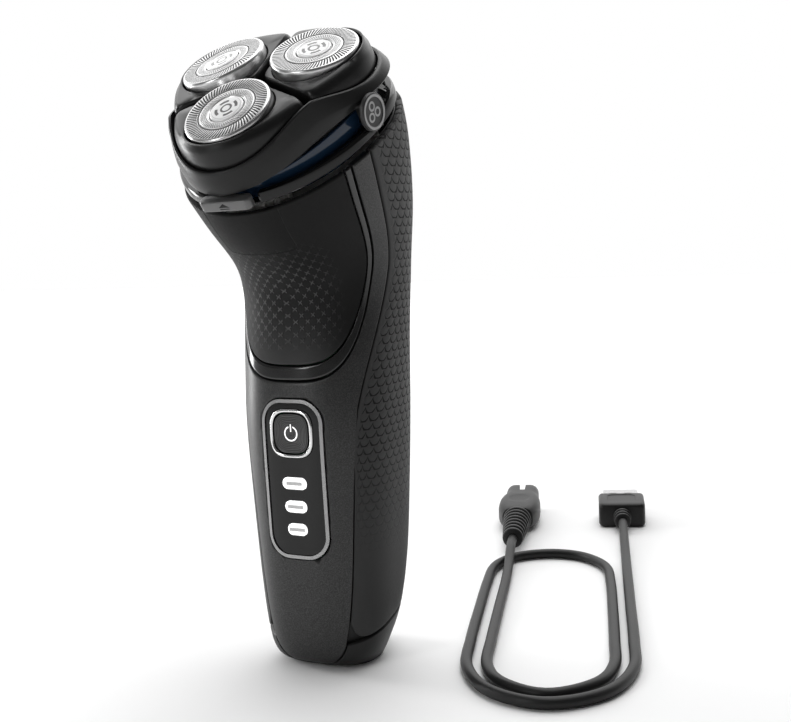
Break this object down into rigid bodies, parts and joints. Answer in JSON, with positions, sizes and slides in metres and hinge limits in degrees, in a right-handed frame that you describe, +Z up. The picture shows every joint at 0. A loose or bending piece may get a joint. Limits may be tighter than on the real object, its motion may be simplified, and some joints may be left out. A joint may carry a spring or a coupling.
{
  "type": "rotary electric shaver",
  "caption": "Upright cordless rotary shaver with flexing round cutter heads, lit status window, pop-up trimmer and a USB charging cable beside it.",
  "frame": {"origin": "on the flat foot the shaver stands on, below the handle's middle", "axes": "+Z up the handle, -Y towards the front with the status window, +X to the shaver's left as it faces you"},
  "size_m": [0.0997, 0.2046, 0.148],
  "materials": {
    "satin_grey": "satin metallic paint on moulded plastic",
    "black_shell": "fine matte",
    "soft_grip": "textured soft touch",
    "gloss_black": "high gloss",
    "pod_black": "satin",
    "chamber_blue": "high gloss",
    "silver_trim": "satin",
    "button_dark": "ribbed",
    "release_grey": "smooth",
    "light": "frosted and lit from behind",
    "inner_grey": "moulded",
    "shaving_steel": "polished on the skin side",
    "cap_centre": "pearl white",
    "plain_steel": "machined",
    "brass": "machined",
    "gear_white": "moulded",
    "battery_wrap": "shrink wrap",
    "board": "coated board",
    "side_badge": "dark disc in a light ring",
    "cable_black": "fine matte",
    "usb_white": "moulded"
  },
  "bodies": {
    "handle": {"back_shell": "black_shell", "front_shell": "satin_grey", "trim_band": "gloss_black", "neck_grip": "soft_grip", "side_grip_right": "soft_grip", "side_grip_left": "soft_grip", "body_collar": "gloss_black", "window_bezel": "silver_trim", "status_window": "gloss_black", "power_button_ring": "silver_trim", "charge_light_1": "light", "charge_light_2": "light", "charge_light_3": "light", "charging_inlet": "inner_grey", "inlet_pin_right": "brass", "inlet_pin_left": "brass", "chassis": "inner_grey", "battery": "battery_wrap", "circuit_board": "board", "power_switch": "board", "gear_plate": "inner_grey", "motor": "plain_steel", "hair_chamber": "chamber_blue", "head_hinge_pin": "plain_steel", "trimmer_tray": "black_shell", "charging_cable": "cable_black", "charging_plug": "cable_black", "usb_overmould": "cable_black", "usb_shell": "plain_steel", "usb_tongue": "usb_white"},
    "head": {"head_frame": "pod_black", "retaining_frame": "inner_grey", "side_badge_right": "side_badge", "side_badge_left": "side_badge"},
    "release": {"release_button": "release_grey"},
    "power": {"power_button": "button_dark"},
    "pinion": {"motor_pinion": "brass"},
    "trimmer": {"trimmer_body": "black_shell", "trimmer_comb": "shaving_steel"},
    "trimmer_cutter": {"trimmer_blade": "shaving_steel"},
    "slider": {"trimmer_slider": "release_grey"},
    "pod_front": {"pod_front": "pod_black", "guard_cap_front": "shaving_steel", "cap_badge_front": "cap_centre"},
    "cutter_front": {"cutter_front": "shaving_steel"},
    "gear_front": {"drive_gear_front": "gear_white", "coupling_spindle_front": "gear_white"},
    "pod_right": {"pod_right": "pod_black", "guard_cap_right": "shaving_steel", "cap_badge_right": "cap_centre"},
    "cutter_right": {"cutter_right": "shaving_steel"},
    "gear_right": {"drive_gear_right": "gear_white", "coupling_spindle_right": "gear_white"},
    "pod_left": {"pod_left": "pod_black", "guard_cap_left": "shaving_steel", "cap_badge_left": "cap_centre"},
    "cutter_left": {"cutter_left": "shaving_steel"},
    "gear_left": {"drive_gear_left": "gear_white", "coupling_spindle_left": "gear_white"}
  },
  "joints": [
    {"name": "head_open", "type": "hinge", "parent": "handle", "child": "head", "pos_m": [0, 0.00427, 0.14215], "axis": [-1, 0, 0], "range_deg": [0, 95]},
    {"name": "motor_spin", "type": "hinge", "parent": "handle", "child": "pinion", "pos_m": [0, -0.01235, 0.12209], "axis": [0, -0.6088, 0.7934], "continuous": true},
    {"name": "release_press", "type": "slide", "parent": "handle", "child": "release", "axis": [0, 0.7934, 0.6088], "range_m": [0, 0.0008], "stiffness_N_per_m": 1200, "springref_m": -0.0004},
    {"name": "power_press", "type": "slide", "parent": "handle", "child": "power", "axis": [0, 1, 0], "range_m": [0, 0.0006], "stiffness_N_per_m": 1500, "springref_m": -0.0003},
    {"name": "trimmer_fold", "type": "hinge", "parent": "handle", "child": "trimmer", "pos_m": [0, 0.01628, 0.09334], "axis": [-1, 0, 0], "range_deg": [0, 100]},
    {"name": "trimmer_reciprocate", "type": "slide", "parent": "trimmer", "child": "trimmer_cutter", "axis": [1, 0, 0], "range_m": [-0.0006, 0.0006]},
    {"name": "trimmer_slide", "type": "slide", "parent": "handle", "child": "slider", "axis": [0, 0, 1], "range_m": [0, 0.004]},
    {"name": "pod_tilt_front", "type": "hinge", "parent": "head", "child": "pod_front", "pos_m": [0, -0.03824, 0.11722], "axis": [-1, 0, 0], "range_deg": [0, 6], "stiffness_Nm_per_rad": 0.06, "springref_deg": -6.88},
    {"name": "cutter_spin_front", "type": "hinge", "parent": "pod_front", "child": "cutter_front", "pos_m": [0, -0.03521, 0.12888], "axis": [0, -0.6921, 0.7218], "continuous": true},
    {"name": "gear_spin_front", "type": "hinge", "parent": "handle", "child": "gear_front", "pos_m": [0, -0.02346, 0.11357], "axis": [0, -0.6088, 0.7934], "continuous": true},
    {"name": "pod_tilt_right", "type": "hinge", "parent": "head", "child": "pod_right", "pos_m": [0.02035, -0.01027, 0.13868], "axis": [0.5, -0.6871, -0.5272], "range_deg": [0, 6], "stiffness_Nm_per_rad": 0.06, "springref_deg": -6.88},
    {"name": "cutter_spin_right", "type": "hinge", "parent": "pod_right", "child": "cutter_right", "pos_m": [0.01212, -0.01855, 0.14166], "axis": [0.095, -0.5616, 0.822], "continuous": true},
    {"name": "gear_spin_right", "type": "hinge", "parent": "handle", "child": "gear_right", "pos_m": [0.01212, -0.0068, 0.12635], "axis": [0, -0.6088, 0.7934], "continuous": true},
    {"name": "pod_tilt_left", "type": "hinge", "parent": "head", "child": "pod_left", "pos_m": [-0.02035, -0.01027, 0.13868], "axis": [0.5, 0.6871, 0.5272], "range_deg": [0, 6], "stiffness_Nm_per_rad": 0.06, "springref_deg": -6.88},
    {"name": "cutter_spin_left", "type": "hinge", "parent": "pod_left", "child": "cutter_left", "pos_m": [-0.01212, -0.01855, 0.14166], "axis": [-0.095, -0.5616, 0.822], "continuous": true},
    {"name": "gear_spin_left", "type": "hinge", "parent": "handle", "child": "gear_left", "pos_m": [-0.01212, -0.0068, 0.12635], "axis": [0, -0.6088, 0.7934], "continuous": true}
  ],
  "couplings": [
    {"joint": "cutter_spin_front", "follows": "motor_spin", "ratio": -0.64706},
    {"joint": "gear_spin_front", "follows": "motor_spin", "ratio": -0.64706},
    {"joint": "cutter_spin_right", "follows": "motor_spin", "ratio": -0.64706},
    {"joint": "gear_spin_right", "follows": "motor_spin", "ratio": -0.64706},
    {"joint": "cutter_spin_left", "follows": "motor_spin", "ratio": -0.64706},
    {"joint": "gear_spin_left", "follows": "motor_spin", "ratio": -0.64706}
  ]
}
